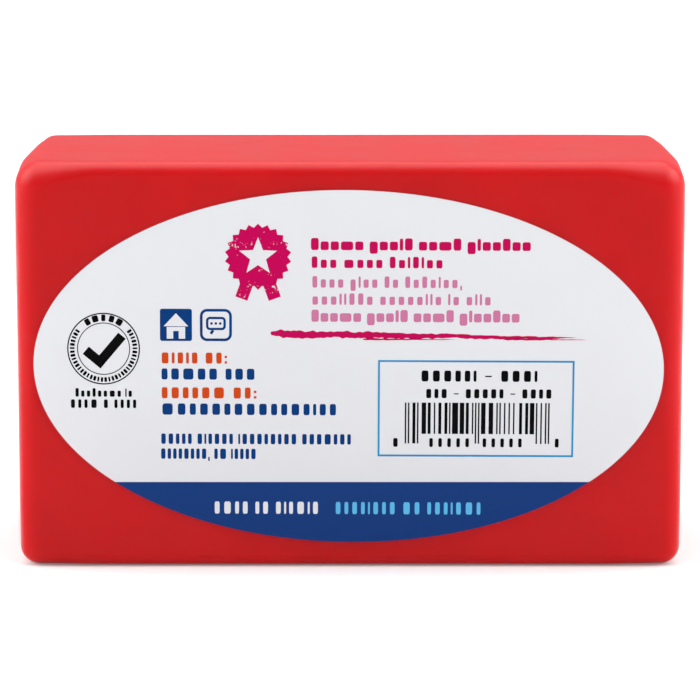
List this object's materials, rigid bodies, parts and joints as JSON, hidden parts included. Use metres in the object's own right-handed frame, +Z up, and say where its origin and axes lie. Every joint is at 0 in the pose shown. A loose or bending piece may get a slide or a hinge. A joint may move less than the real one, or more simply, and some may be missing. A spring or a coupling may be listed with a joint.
{
  "type": "modelling clay bar",
  "caption": "Rectangular bar of red modelling clay with rounded edges, in a clear film overwrap folded at the ends, with an oval label on each large face.",
  "frame": {"origin": "middle of the bottom of the bounding box, with the bar standing on one of its long narrow sides", "axes": "+X along the bar's length, +Y through its thickness from the rear label to the front label, +Z up across its height"},
  "size_m": [0.105, 0.0458, 0.0645],
  "materials": {
    "clay": "waxy satin, oil-based modelling clay",
    "film": "clear, thin packaging film",
    "label": "satin printed label stock"
  },
  "bodies": {
    "root": {"clay_bar": "clay", "film_wrap": "film", "front_label": "label", "rear_label": "label"}
  },
  "joints": []
}
